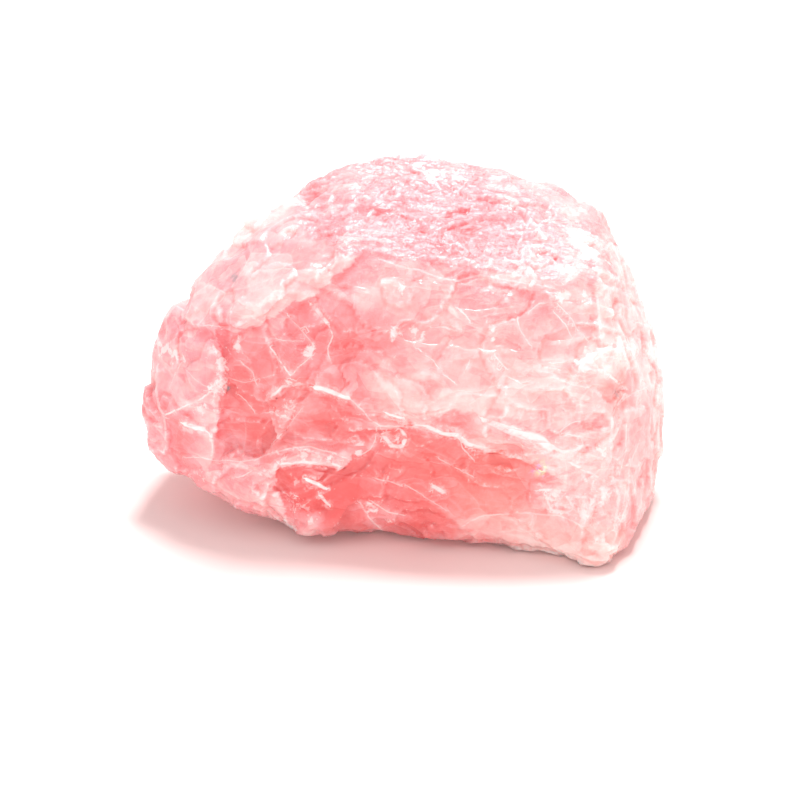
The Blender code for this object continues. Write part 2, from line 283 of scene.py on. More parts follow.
# Where the side is banded from top to bottom.
STRIPES = {
    "rib_high": ((35.3, -2.5), 3, 0.9),
    "rib": ((35.0, -8), 3.4, 1),
    "rib_low": ((34, -14.5), 3.4, 0.8),
    "side": ((38.5, -3), 4, 0.2),
    "side_high": ((36.5, 9), 4, 0.12),
}
GREYS = {
    "slab_smudge": ((-25.8, 19), 0.9, 0.75),
    "slab_smudge_round": ((-26.7, 19.8), 2.6, 0.3),
    "slab_smudge_low": ((-25.9, 15.5), 0.9, 0.35),
    "slab_veil": ((-21.7, 18), 1.8, 0.2),
    "right_speck": ((25.6, -1.5), 0.5, 0.9),
    "right_veil": ((23.6, -0.4), 2.6, 0.25),
    "block_speck": ((-26.9, 2), 0.35, 0.9),
    "block_specks": ((-28.8, 6.4), 0.5, 0.5),
    # Painted shade: the notch's small recess is darkened with grey.
    "notch": ((33.3, 1.2), 1.4, 0.42),
    "notch_high": ((33.7, 5.2), 1.2, 0.3),
    "red_spot": ((-7.9, 6.7), 0.6, 0.3),
}

# ------------------------ the quartz's zones
# On the front: each zone's middle in the eye's plane, its reach in mm, then how pink it is, from
# milky white at 0 to deep salmon at 1, how warm its pink is, and how rough its break is.
FRONT_ZONES = {
    "crown": ((4.7, 36.0), 5, 0.5, 0.1, 0.5),
    "crown_left": ((-9.3, 33.8), 5, 0.53, 0.1, 0.5),
    "crown_right": ((22.5, 31.3), 6, 0.36, 0.1, 0.5),
    "top_left": ((-8.5, 29.1), 6, 0.44, 0, 0.9),
    "top_middle": ((4.7, 27.6), 8, 0.56, 0, 1.0),
    "top_right": ((20.1, 25.1), 7, 0.44, 0, 1.0),
    "top_front": ((-1.6, 24.0), 6, 0.45, 0, 1.0),
    "top_front_right": ((13.9, 20.9), 6, 0.42, 0.1, 1.0),
    "shoulder": ((29.4, 23.2), 5, 0.3, 0.2, 0.7),
    "corner_top": ((31.3, 15.5), 5, 0.3, 0.3, 0.6),
    "slab_crest": ((-21.4, 28.8), 4, 0.2, 0.2, 0.35),
    "slab_top": ((-19.4, 24.8), 5, 0.34, 0.1, 0.15),
    "slab_left": ((-26.0, 18.3), 6, 0.42, 0.1, 0.1),
    "slab_rim": ((-23.2, 13.6), 5, 0.32, 0.15, 0.1),
    "slab_right": ((-14.7, 20.5), 5, 0.44, 0.3, 0.2),
    "brow_left": ((-4.3, 18.6), 5, 0.2, 0.2, 0.3),
    "brow_middle": ((7.0, 15.2), 6, 0.46, 0.3, 0.4),
    "brow_right": ((22.5, 11.6), 6, 0.48, 0.3, 0.4),
    "pink_corner": ((-10.5, 16.7), 4, 0.3, 0.2, 0.3),
    "crack_field": ((-14.7, 10.1), 5, 0.66, 0.2, 0.3),
    "deep_left": ((-22.5, 7.4), 5, 0.54, 0.3, 0.2),
    "deep_middle": ((-7.8, 8.5), 6, 0.68, 0.3, 0.2),
    "deep_low": ((-24.0, 0.8), 6, 0.84, 0.35, 0.2),
    "deep_shelf": ((-17.8, -0.3), 5, 0.3, 0.5, 0.2),
    "middle": ((0.8, 6.2), 7, 0.42, 0.4, 0.1),
    "pale_middle": ((9.3, 1.2), 7, 0.33, 0.5, 0.1),
    "pale_right": ((19.4, 4.3), 7, 0.35, 0.5, 0.3),
    "pale_wedge": ((0.0, -1.9), 4, 0.18, 0.6, 0.1),
    "right_pink": ((24.8, 10.1), 5, 0.36, 0.3, 0.4),
    "right_white": ((31.3, 8.5), 4, 0.17, 0.4, 0.6),
    "right_low": ((26.7, 0.0), 6, 0.3, 0.4, 0.5),
    "block_top": ((-31.5, 8.5), 6, 0.42, 0.0, 0.2),
    "block_middle": ((-32.5, 1.2), 5, 0.39, 0.0, 0.1),
    "block_low": ((-32.5, -5.6), 5, 0.86, 0.2, 0.2),
    "block_end": ((-37.2, -6.5), 4, 0.45, 0.1, 0.4),
    "under_left": ((-15.5, -3.9), 7, 0.8, 0.4, 0.2),
    "under_middle": ((-7.8, -6.5), 6, 0.78, 0.4, 0.2),
    "under_deep": ((6.2, -10.5), 8, 0.85, 0.6, 0.2),
    "under_right": ((16.3, -11.2), 6, 0.63, 0.8, 0.2),
    "waist_pink": ((6.2, -5.0), 4, 0.64, 0.5, 0.2),
    "waist_right": ((19.4, -4.3), 5, 0.5, 0.4, 0.4),
    "foot_ledge": ((-27.9, -11.2), 6, 0.48, 0.2, 0.5),
    "foot_lip": ((-14.3, -8.1), 3, 0.55, 0.3, 0.6),
    "lip_hollow": ((-11.6, -13.2), 4.5, 1.2, 0.3, 0.2),
    "ledge_low": ((-17.8, -17.4), 4, 0.43, 0.3, 0.7),
    "low_middle": ((0.0, -17.1), 8, 0.86, 0.4, 0.3),
    "low_patch": ((-1.9, -17.7), 3, 0.42, 0.4, 0.8),
    "low_right": ((12.4, -15.5), 6, 0.47, 0.9, 0.2),
    "rough_right": ((26.7, -13.6), 6, 0.32, 0.3, 1.0),
    "foot": ((22.5, -22.5), 6, 0.24, 0.9, 0.4),
    "foot_corner": ((29.8, -23.6), 4, 0.33, 0.9, 0.3),
    "notch": ((33.4, 1.3), 2.0, 0.62, 0.9, 0.1),
    "rib": ((37.2, -4.7), 5, 0.42, 0.4, 0.15),
    "side_up": ((37.2, 10.1), 6, 0.32, 0.3, 0.15),
    "side_low": ((38.0, -11.6), 6, 0.42, 0.4, 0.1),
    "side_top": ((35.3, 19.8), 6, 0.28, 0.3, 0.3),
}
# Elsewhere: each zone's middle in the stone's frame, and the same measures.
OTHER_ZONES = {
    "back_left": ((-26, 18, 25), 12, 0.45, 0.2, 0.4),
    "back_middle": ((0, 25, 30), 12, 0.60, 0.2, 0.5),
    "back_right": ((26, 20, 25), 12, 0.30, 0.3, 0.5),
    "back_low": ((-4, 26, 10), 12, 0.75, 0.3, 0.3),
    "back_low_right": ((28, 22, 8), 11, 0.45, 0.4, 0.5),
    "back_top": ((2, 17, 47), 9, 0.35, 0.1, 0.8),
    "left_back": ((-36, 9, 18), 9, 0.50, 0.2, 0.3),
    "left_low": ((-32, 2, 5), 9, 0.60, 0.2, 0.4),
    "right_back": ((37, 8, 22), 10, 0.22, 0.4, 0.5),
    "right_low": ((38, 0, 6), 8, 0.35, 0.5, 0.5),
    "underside": ((5, 0, 0), 20, 0.55, 0.4, 0.6),
}

# What the mesh keeps at its points for the material.
VALUES = (
    "pink", "warm", "rough", "streaked", "ridge",
    "white", "grey", "striped", "rainbow",
    "mark", "mark_width", "mark_power",
)
# The quartz's colours from milky to deep, where its pink is cool and where it's warm.
COOL_TONES = (
    (0.0, (0.92, 0.70, 0.68)),
    (0.25, (0.87, 0.52, 0.52)),
    (0.5, (0.82, 0.33, 0.36)),
    (0.75, (0.77, 0.20, 0.22)),
    (1.0, (0.72, 0.12, 0.13)),
)
WARM_TONES = (
    (0.0, (0.92, 0.71, 0.68)),
    (0.25, (0.88, 0.53, 0.50)),
    (0.5, (0.84, 0.34, 0.31)),
    (0.75, (0.79, 0.21, 0.18)),
    (1.0, (0.74, 0.14, 0.11)),
)
# White where the quartz is cracked or crumbled and for its painted glints and sheen, grey in its
# smudges and for the notch's painted shade, and pale behind its rainbow glint.
CRUMB_AND_GLINT_WHITE = (0.95, 0.84, 0.83, 1)
SMUDGE_AND_SHADE_GREY = (0.36, 0.28, 0.30, 1)
RAINBOW_PALE = (1.0, 0.8, 0.9, 1)

# ------------------------ how the stone is broken, in mm
SAME_POINT = 1e-6  # in metres: the solid's points are merged when they're this close

# How strongly an even mesh is smoothed in each round, and for how many rounds when it's first made
# and when it's made anew.
SMOOTHING = 0.5
FIRST_SMOOTHING = 6
LATER_SMOOTHING = 3

# A groove is filled by a share of what it has beyond a slight bend, for some rounds.
GROOVE_FILL = 0.8
SLIGHT_BEND = 0.02
GROOVE_ROUNDS = 8
LAST_GROOVE_ROUNDS = 3
PIT_ROUNDS = 50

# How far a face has to look at the eye to be broken in full, and to take a mark.
LEDGE_FACING = 0.3
MARK_FACING = 0.03

# Flakes: how many are tried, the hollow's radius, the depth of its bite, and its stretch.
FACE_FLAKES = (260, (9, 30), (0.10, 0.40), (1.0, 2.6))
RIDGE_FLAKES = (500, (2.5, 8), (0.15, 0.5), (1.0, 2.4))
FLAKE_SWAY = 0.2  # how far a flake strays from straight in
DEEPEST = 1.8  # how many bites deep a flake may go and still be struck
RIDGE_SHARE = 0.05  # how much of the surface counts as ridges
SHARP_BEND = 0.07  # the bend of a full ridge
RIDGED_HEIGHT = (1.8, 3)  # from how high, and over how much, ridges come in

# Hackle: the size of its breaks, and how steeply they tilt.
STONE_AREA = 13000  # about what the surface measures, in mm2
FINE_HACKLE = (2.4, 0.08)
BROAD_HACKLE = (7.0, 0.04)

# Terraces: how much they take off, and their noise's stretch, steps and start.
BROAD_TERRACES = (0.5, (14, 10, 9), 2.0, 3.0)
FINE_TERRACES = (0.22, (5, 4, 3), 2.2, 9.0)
TERRACE_OCTAVES = 2

# The top's streaks, which run from side to side, turned a little.
STREAK_TURN = -0.3
STREAK_HEIGHT = 0.22
STREAK_STRETCH = (7, 1.2, 1.2)
STREAK_OCTAVES = 3
# They come in as the surface faces up, is high and is rough: from where, and over how much.
STREAKED_FACING = (0.5, 0.25)
STREAKED_HEIGHT = (34, 5)
STREAKED_ROUGH = (0.3, 0.3)

# Grit on the roughest breaks: its height, and its noise's stretch, octaves and start.
GRIT_HEIGHT = 0.05
GRIT = (1.2, 2, 5.0)

# How far noise moves a zone's middle, a zone's edge and a spot's edge: the reach, the noise's
# stretch and octaves, and where in the noise each axis starts.
ZONE_DRIFT = (1.6, 5.0, 2, (0.0, 31.0, 77.0))
EDGE_DRIFT = (0.8, 2.2, 4, (13.0, 57.0))
SPOT_DRIFT = (0.9, 1.6, 2, (3.0, 41.0))
ZONE_FALL = 2.2  # how fast a zone fades past its reach
FAINTEST = 1e-9  # what every zone counts everywhere
EDGE_SHARE = 0.8  # how much a ledge's own pinks count along its line

# A mark is strong up to some way off its line, which grows with its width, and then fades.
MARK_REACH = 0.65
MARK_GROWTH = 1.2
MARK_FADE = 0.3
FAR_OFF = 9.0
THINNEST_MARK = 0.1

# ------------------------ the material's sizes, in metres
BIG_BREAK = 0.0065
SMALL_BREAK = 0.0021
FINE_BREAK = 0.0012
EDGE_WIDTH = 0.00028
BROAD_DRIFT = 0.0035
SLIGHT_DRIFT = 0.0012
SCALE_COUNT = 9.0  # how many scales a full swing of their noise makes
RELIEF_DEPTH = 0.0006
RELIEF_STRENGTH = 0.6
QUARTZ_IOR = 1.54
GLOW_DEPTH = 0.008  # how deep light goes in before it comes out again
GLOW_SPREAD = (1.0, 0.45, 0.42)  # the share of that depth for red, green and blue

# The colour Mix node's sockets.
MIX_AMOUNT = 0
MIX_FIRST = 6
MIX_SECOND = 7
MIX_RESULT = 2

# ------------------------ the studio, in metres
# Each light's place, size and power.
LIGHTS = {
    "light_behind": ((0.08, 0.22, 0.78), 0.24, 7.4),
    "light_left": ((-0.5, -0.25, 0.4), 0.25, 0.4),
    "light_front": ((0.1, -0.75, 0.16), 0.4, 2.2),
}
LIT_POINT = (0, 0, 0.02)
ROOM_LIGHT = 0.7
FLOOR_REACH = 2
# The paper is pale pink, which the light washes out to white; in the stone's shadows its pink is
# painted light that has come through the quartz.
PAPER_PALE_PINK = (0.95, 0.79, 0.77, 1)
PAPER_ROUGHNESS = 0.9
NEAREST_SEEN = 0.01  # from the camera


def rise(value, start, span):
    """0 up to the start, and 1 once the value is past it by the span."""
    return np.clip((value - start) / span, 0, 1)


def eye_plane(points):
    """Each point's place in the plane that faces the eye."""
    rays = points - EYE
    return np.stack((rays @ RIGHT, rays @ UP), axis=1) * (DISTANCE / (rays @ INTO))[:, None]


def off_line(flat, line):
    """How far each place is from a bent line, and its side: 1 is on the line's right as it runs."""
    distance = np.full(len(flat), np.inf)
    side = np.ones(len(flat))
    for start, end in zip(line, line[1:]):
        run = np.subtract(end, start)
        along = np.clip((flat - start) @ run / (run @ run), 0, 1)
        away = flat - start - along[:, None] * run
        here = np.hypot(away[:, 0], away[:, 1])
        nearer = here < distance
        distance[nearer] = here[nearer]
        on_right = run[1] * away[nearer, 0] - run[0] * away[nearer, 1] > 0
        side[nearer] = np.where(on_right, 1, -1)
    return distance, side


def read_rows(items, name, kind, width):
    """One row of numbers for each of a mesh's points or edges."""
    rows = np.empty(len(items) * width, kind)
    items.foreach_get(name, rows)
    return rows.reshape(-1, width)


class Surface:
    """The stone's fine mesh as arrays: its points, their outward directions and its edges' ends."""

    def __init__(self, mesh):
        self.mesh = mesh
        self.points = read_rows(mesh.vertices, "co", float, 3)
        self.ends = read_rows(mesh.edges, "vertices", int, 2)
        self.on_sole = self.points[:, 2] < SOLE_SKIN
        self.refresh()

    def refresh(self):
        """Writes the points to the mesh, with the sole flat, and reads how they face anew."""
        self.points[self.on_sole, 2] = 0
        self.points[:, 2] = np.maximum(self.points[:, 2], 0)
        self.mesh.vertices.foreach_set("co", self.points.ravel())
        self.mesh.update()
        self.outward = read_rows(self.mesh.vertices, "normal", float, 3)
        self.flat = eye_plane(self.points)
        self.facing = -(self.outward @ INTO)

    def push(self, amount):
        """Moves the points out along their outward directions."""
        self.points += self.outward * amount[:, None]
        self.refresh()

    def add_neighbours(self, total, count, value):
        """Adds each point's neighbours' values to its total, and their number to its count."""
        for here, there in (self.ends.T, self.ends.T[::-1]):
            np.add.at(total, here, value[there])
            np.add.at(count, here, 1)

    def bend(self):
        """How sharply the surface bends at each point: above 0 on ridges and below 0 in grooves."""
        total = np.zeros_like(self.points)
        count = np.zeros(len(self.points))
        self.add_neighbours(total, count, self.points)
        return -np.sum((total / count[:, None] - self.points) * self.outward, axis=1)

    def spread(self, value, rounds):
        """A value per point, evened out with its neighbours' some rounds over."""
        for _ in range(rounds):
            total = value.copy()
            count = np.ones(len(value))
            self.add_neighbours(total, count, value)
            value = total / count
        return value


def apply_modifier(stone, kind, **settings):
    """Gives the stone the mesh that one modifier makes of it."""
    modifier = stone.modifiers.new(kind, kind)
    for setting, value in settings.items():
        setattr(modifier, setting, value)
    evaluated = stone.evaluated_get(bpy.context.evaluated_depsgraph_get())
    made = bpy.data.meshes.new_from_object(evaluated)
    stone.modifiers.clear()
    stone.data = made


def even_mesh(stone, rounds):
    """Gives the stone a fine even mesh, smoothed some rounds over."""
    apply_modifier(stone, "REMESH", mode="VOXEL", voxel_size=GRAIN)
    apply_modifier(stone, "SMOOTH", factor=SMOOTHING, iterations=rounds)


def fine_copy(solid):
    """A copy of the plain solid in millimetres, merged and with a fine even mesh."""
    bm = bmesh.new()
    bm.from_mesh(solid.data)
    bmesh.ops.remove_doubles(bm, verts=bm.verts, dist=SAME_POINT)
    bm.transform(Matrix.Scale(MM_PER_METRE, 4))
    mesh = bpy.data.meshes.new("rose_quartz")
    bm.to_mesh(mesh)
    bm.free()
    stone = bpy.data.objects.new("rose_quartz", mesh)
    bpy.context.scene.collection.objects.link(stone)
    even_mesh(stone, FIRST_SMOOTHING)
    return stone


def remeshed(stone):
    """The stone's surface in a new even mesh, which undoes its folds."""
    even_mesh(stone, LATER_SMOOTHING)
    return Surface(stone.data)


def fill_grooves(surface, rounds):
    """Fills the sharpest grooves between faces, which would trap grey shadows."""
    for _ in range(rounds):
        surface.push(GROOVE_FILL * np.maximum(-surface.bend() - SLIGHT_BEND, 0))


def break_ledges(surface):
    """Breaks the front down along each ledge's line, straight away from the eye."""
    for depth, fade, _, _, line in LEDGES.values():
        distance, side = off_line(surface.flat, line)
        near = np.clip(1 - distance / fade, 0, 1) ** 2
        broken = (side * np.sign(depth) > 0) * rise(surface.facing, 0, LEDGE_FACING)
        surface.points += INTO * (abs(depth) * near * broken)[:, None]
        surface.refresh()


def fill_pits(surface):
    """Evens out the few pits where broken faces meet."""
    even = np.stack([surface.spread(axis, PIT_ROUNDS) for axis in surface.points.T], axis=1)
    in_front = (surface.points - AIM) @ INTO < 0
    for middle, reach in PITS.values():
        away = np.hypot(*(surface.flat - middle).T) / reach
        surface.points += (np.exp(-(away**2)) * in_front)[:, None] * (even - surface.points)
    surface.refresh()


def waves(points, stretch, octaves, shift=0.0):
    """Soft noise, about -1 to 1, at each point once it is divided by the stretch."""
    scaled = points / np.array(stretch) + shift
    return np.array([noise.fractal(p, 1.0, 2.0, octaves) for p in scaled])


def drifted(places, points, drift):
    """The places, moved about by soft noise that's read at the points."""
    reach, stretch, octaves, shifts = drift
    moves = [waves(points, stretch, octaves, shift) for shift in shifts]
    return places + reach * np.stack(moves, axis=1)


def strike_flake(points, place, outward, spin, radius, bite, stretch):
    """Pushes what lies inside a stretched ball onto its wall: the hollow of a flake struck off."""
    across = outward.orthogonal().normalized()
    upright = Matrix((across, outward.cross(across), outward)).transposed()
    spun = Matrix.Rotation(spin, 3, outward) @ upright
    axes = np.array(spun) * np.array((radius * stretch, radius, radius))
    middle = np.array(place + outward * (radius - bite))
    local = (points - middle) @ np.linalg.inv(axes).T
    reach = np.linalg.norm(local, axis=1)
    if reach.min() < 1 - DEEPEST * bite / radius:
        return
    struck = reach < 1
    points[struck] = middle + (local[struck] / reach[struck, None]) @ axes.T


def strike_flakes(surface, rng, sites, kind):
    """Strikes flakes off at random among the sites, which are numbers of points."""
    count, radii, bites, stretches = kind
    for site in rng.choice(sites, count):
        outward = Vector(surface.outward[site] + rng.normal(0, FLAKE_SWAY, 3)).normalized()
        strike_flake(
            surface.points,
            Vector(surface.points[site]),
            outward,
            rng.uniform(0, math.tau),
            rng.uniform(*radii),
            rng.uniform(*bites),
            rng.uniform(*stretches),
        )
    surface.refresh()


def strike_faces_and_ridges(surface, rng):
    """Strikes broad flakes off all over but the sole, and small ones off the sharpest ridges."""
    sites = np.flatnonzero(~surface.on_sole)
    strike_flakes(surface, rng, sites, FACE_FLAKES)
    bend = surface.bend()[sites]
    sharpest = sites[bend > np.quantile(bend, 1 - RIDGE_SHARE)]
    strike_flakes(surface, rng, sharpest, RIDGE_FLAKES)


def terraces(points, kind):
    """Depths that fall slowly and end at once, as the steps of a shallow break do."""
    depth, stretch, steps, shift = kind
    level = waves(points, stretch, TERRACE_OCTAVES, shift) * steps
    return depth * (level - np.floor(level))


def hackle(points, kind, rng):
    """Heights of little flat breaks: each scattered cell tilts its own way."""
    spacing, tilt = kind
    count = int(STONE_AREA / spacing**2)
    seeds = points[rng.choice(len(points), count, replace=False)]
    tree = kdtree.KDTree(count)
    for number, seed in enumerate(seeds):
        tree.insert(seed, number)
    tree.balance()
    nearest = np.array([tree.find(p)[1] for p in points])
    tilts = rng.normal(0, tilt, (count, 3))
    return np.sum((points - seeds[nearest]) * tilts[nearest], axis=1)


def roughen(surface, rng, rough, streaked):
    """Gives the broken faces their hackle, streaks, terraces and grit."""
    points = surface.points
    breaks = hackle(points, FINE_HACKLE, rng) * rough + hackle(points, BROAD_HACKLE, rng)
    along = points @ np.array(Matrix.Rotation(STREAK_TURN, 3, "Z"))
    lines = STREAK_HEIGHT * waves(along, STREAK_STRETCH, STREAK_OCTAVES)
    steps = terraces(points, BROAD_TERRACES) + terraces(points, FINE_TERRACES) * rough**2
    grit = GRIT_HEIGHT * rough * waves(points, *GRIT)
    surface.push(SWELL + breaks + lines * streaked - steps + grit)


def place_zones(stone):
    """Every zone's middle in the stone's frame, and its measures."""
    middles = []
    measures = []
    for place, *rest in FRONT_ZONES.values():
        through = AIM + RIGHT * place[0] + UP * place[1]
        hit, middle, _, _ = stone.ray_cast(Vector(EYE), Vector(through - EYE).normalized())
        if hit:
            middles.append(middle)
            measures.append(rest)
    for place, *rest in OTHER_ZONES.values():
        middles.append(place)
        measures.append(rest)
    return np.array(middles), np.array(measures)


def zone_values(points, middles, measures):
    """How pink, warm and rough the quartz is at each point, blended from the zones around it."""
    away = drifted(points, points, ZONE_DRIFT)[:, None, :] - middles[None]
    apart = np.linalg.norm(away, axis=2) / measures[:, 0]
    weight = np.exp(-ZONE_FALL * apart**2) + FAINTEST
    weight /= weight.sum(axis=1, keepdims=True)
    return weight @ measures[:, 1:]


def part_zones(surface, pink):
    """Parts the pink from the pale crisply along each ledge's line."""
    flat = drifted(surface.flat, surface.points, EDGE_DRIFT)
    for _, fade, left, right, line in LEDGES.values():
        distance, side = off_line(flat, line)
        near = EDGE_SHARE * np.clip(1 - distance / fade, 0, 1) * (surface.facing > 0)
        pink = pink + near * (np.where(side > 0, right, left) - pink)
    return pink


def streaked_part(surface, rough):
    """How streaked each point is, from 0 to 1: the rough top is, and the rest isn't."""
    facing_up = rise(surface.outward[:, 2], *STREAKED_FACING)
    high = rise(surface.points[:, 2], *STREAKED_HEIGHT)
    return facing_up * high * rise(rough, *STREAKED_ROUGH)


def ridges(surface):
    """How sharp a ridge each point is on, from 0 to 1, and 0 by the sole."""
    sharp = rise(surface.bend(), 0, SHARP_BEND)
    return surface.spread(sharp * rise(surface.points[:, 2], *RIDGED_HEIGHT), 1)


def spots(surface, table):
    """How strong the nearest of a table's spots is at each point."""
    strongest = np.zeros(len(surface.points))
    flat = drifted(surface.flat, surface.points, SPOT_DRIFT)
    for middle, reach, strength in table.values():
        away = np.hypot(*(flat - middle).T) / reach
        strongest = np.maximum(strongest, strength * np.exp(-(away**2)) * (surface.facing > 0))
    return strongest


def marks(surface):
    """For the nearest mark: its signed distance, its half width, and its strength close by."""
    count = len(surface.points)
    nearest = np.full(count, FAR_OFF)
    width = np.full(count, THINNEST_MARK)
    power = np.zeros(count)
    for half_width, strength, line in MARKS.values():
        distance, side = off_line(surface.flat, line)
        distance[surface.facing < MARK_FACING] = FAR_OFF
        nearer = distance < np.abs(nearest)
        nearest[nearer] = (distance * side)[nearer]
        width[nearer] = half_width
        power[nearer] = strength
    close = rise(MARK_REACH + MARK_GROWTH * width - np.abs(nearest), 0, MARK_FADE)
    return nearest, width, power * close


def write_value(mesh, name, values):
    """Keeps one number per point in the mesh, for the material to read."""
    kept = mesh.attributes.new(name, "FLOAT", "POINT")
    kept.data.foreach_set("value", values.astype(np.float32))


# ------------------------ the material


def add(tree, kind, inputs=(), **settings):
    """Adds a node, sets it up, and feeds its inputs with numbers or with other nodes' outputs."""
    made = tree.nodes.new(kind)
    for name, value in settings.items():
        setattr(made, name, value)
    for name, value in dict(inputs).items():
        if isinstance(value, bpy.types.NodeSocket):
            tree.links.new(value, made.inputs[name])
        else:
            made.inputs[name].default_value = value
    return made


def value_of(tree, name):
    """A number that the mesh keeps at its points."""
    return add(tree, "ShaderNodeAttribute", attribute_name=name).outputs["Fac"]


def maths(tree, operation, *terms):
    """One sum on numbers."""
    return add(tree, "ShaderNodeMath", enumerate(terms), operation=operation).outputs[0]


def vector_maths(tree, operation, *terms):
    """One sum on vectors."""
    made = add(tree, "ShaderNodeVectorMath", enumerate(terms), operation=operation)
    return made.outputs["Vector"]


def dot(tree, first, second):
    """How far two vectors run the same way."""
    made = add(tree, "ShaderNodeVectorMath", {0: first, 1: second}, operation="DOT_PRODUCT")
    return made.outputs["Value"]


def product(tree, *terms):
    """All the terms multiplied."""
    total = terms[0]
    for term in terms[1:]:
        total = maths(tree, "MULTIPLY", total, term)
    return total


def total_of(tree, start, *shares):
    """The start, with each term added in turn once it is multiplied by its share."""
    total = start
    for term, share in shares:
        total = maths(tree, "MULTIPLY_ADD", term, share, total)
    return total


def largest(tree, first, *others):
    """The largest of the terms."""
    for other in others:
        first = maths(tree, "MAXIMUM", first, other)
    return first


def rest_of(tree, value):
    """What the value lacks of 1."""
    return maths(tree, "SUBTRACT", 1, value)


def limits(tree, value, low, high):
    """0 below low, 1 above high, and smooth between them."""
    inputs = {"Value": value, "From Min": low, "From Max": high}
    made = add(tree, "ShaderNodeMapRange", inputs, interpolation_type="SMOOTHSTEP")
    return made.outputs["Result"]


def ramp(tree, value, stops):
    """A colour ramp: each stop is its place and its colour."""
    made = add(tree, "ShaderNodeValToRGB", {"Fac": value})
    elements = made.color_ramp.elements
    elements[0].position, elements[0].color = stops[0][0], (*stops[0][1], 1)
    elements[1].position, elements[1].color = stops[-1][0], (*stops[-1][1], 1)
    for place, colour in stops[1:-1]:
        elements.new(place).color = (*colour, 1)
    return made.outputs["Color"]


def mix(tree, amount, first, second):
    """The first colour, with as much of the second in it as the amount says."""
    inputs = {MIX_AMOUNT: amount, MIX_FIRST: first, MIX_SECOND: second}
    return add(tree, "ShaderNodeMix", inputs, data_type="RGBA").outputs[MIX_RESULT]


def noise_of(tree, place, scale, detail, roughness, distortion):
    """Soft noise from 0 to 1."""
    inputs = {
        "Vector": place,
        "Scale": scale,
        "Detail": detail,
        "Roughness": roughness,
        "Distortion": distortion,
    }
    return add(tree, "ShaderNodeTexNoise", inputs).outputs["Fac"]


def turned(tree, place, turn, scale):
    """The place, turned and stretched."""
    inputs = {"Vector": place, "Rotation": turn, "Scale": scale}
    return add(tree, "ShaderNodeMapping", inputs).outputs["Vector"]


def thin_line(tree, value, width):
    """1 where the value is half, and 0 once it's the width away: the thin lines of a noise."""
    off = maths(tree, "ABSOLUTE", maths(tree, "SUBTRACT", value, 0.5))
    return rest_of(tree, limits(tree, off, 0.0, width))


def facets(tree, place, size):
    """Little flat breaks, each tilted its own way: their heights and their painted shade, -0.5 to
    0.5.
    """
    inputs = {"Vector": place, "Scale": 1 / size, "Randomness": 1.0}
    cells = add(tree, "ShaderNodeTexVoronoi", inputs)
    away = vector_maths(tree, "SUBTRACT", place, cells.outputs["Position"])
    tilt = vector_maths(tree, "SUBTRACT", cells.outputs["Color"], (0.5,) * 3)
    height = maths(tree, "MULTIPLY", dot(tree, away, tilt), 1 / size)
    return height, dot(tree, tilt, (0.0, 0.0, 1.0))


def cell_edges(tree, place, size, width):
    """1 on the straight edges between cells, and 0 once they are the width away."""
    inputs = {"Vector": place, "Scale": 1 / size, "Randomness": 1.0}
    cells = add(tree, "ShaderNodeTexVoronoi", inputs, feature="DISTANCE_TO_EDGE")
    return rest_of(tree, limits(tree, cells.outputs["Distance"], 0.0, width / size))


def fields(tree):
    """The numbers kept at the mesh's points, the places, and the noises that the quartz reads."""
    place = add(tree, "ShaderNodeTexCoord").outputs["Object"]
    drift = add(tree, "ShaderNodeTexNoise", {"Vector": place, "Scale": 160, "Detail": 2})
    drift = drift.outputs["Color"]
    far = vector_maths(tree, "MULTIPLY_ADD", drift, (BROAD_DRIFT,) * 3, place)
    near = vector_maths(tree, "MULTIPLY_ADD", drift, (SLIGHT_DRIFT,) * 3, place)
    # The place turned and stretched, for sheets that lie flat, streaks, scales and upright bands.
    lain = turned(tree, far, (0.0, 0.12, 0.0), (0.5, 0.8, 1.8))
    streaks = turned(tree, place, (0, 0, STREAK_TURN), (150, 620, 620))
    scales = turned(tree, place, (0, 0, STREAK_TURN), (110, 330, 330))
    stripes = turned(tree, far, (0.2, 0.1, 0), (1500, 900, 150))

    made = {name: value_of(tree, name) for name in VALUES}
    made["place"] = place
    made["angled"] = turned(tree, near, (0.3, 0.2, -0.35), (0.8, 1.0, 1.15))
    # Each noise's place, scale, detail, roughness and distortion.
    noises = {
        "cloud": (place, 130, 5, 0.6, 0.8),
        "patch": (place, 75, 3, 0.5, 0.5),
        "fine": (place, 1000, 3, 0.65, 0.3),
        "grain": (place, 2900, 2, 0.5, 0.0),
        "streak": (streaks, 1, 4, 0.66, 1.4),
        "scale": (scales, 1, 3, 0.5, 1.0),
        "stripe": (stripes, 1, 3, 0.6, 0.3),
        "strand": (lain, 150, 3, 0.55, 0.4),
        "thread": (lain, 480, 3, 0.6, 0.6),
        "sheet": (lain, 90, 3, 0.5, 0.3),
    }
    for name, settings in noises.items():
        made[name] = noise_of(tree, *settings)
    # Scales rise slowly and drop at once, as the shallow breaks on the top do.
    made["scales"] = maths(tree, "FRACT", maths(tree, "MULTIPLY", made["scale"], SCALE_COUNT))
    # The ones that lighten and darken the quartz, about 0.
    for name in ("cloud", "fine", "streak", "patch", "stripe", "scales"):
        made[name + "_swing"] = maths(tree, "SUBTRACT", made[name], 0.5)
    return made


def cracks_and_glints(tree, field):
    """Thin pale lines along the marks, some of them painted glints, with a patchy strength, and a
    pale halo of painted sheen around them.
    """
    wander = maths(tree, "MULTIPLY", field["cloud_swing"], 0.9)
    wander = total_of(tree, wander, (field["fine_swing"], 0.35))
    off_mark = maths(tree, "ABSOLUTE", maths(tree, "ADD", field["mark"], wander))
    beyond = maths(tree, "DIVIDE", off_mark, field["mark_width"])
    crack_and_glint = rest_of(tree, limits(tree, beyond, 0.5, 1.4))
    crack_and_glint = product(tree, crack_and_glint, field["mark_power"], limits(tree, field["thread"], 0.3, 0.5))
    sheen_halo = rest_of(tree, limits(tree, beyond, 0.0, 9.0))
    patchy = limits(tree, field["fine"], 0.4, 0.65)
    return crack_and_glint, product(tree, sheen_halo, field["mark_power"], patchy, 0.5)


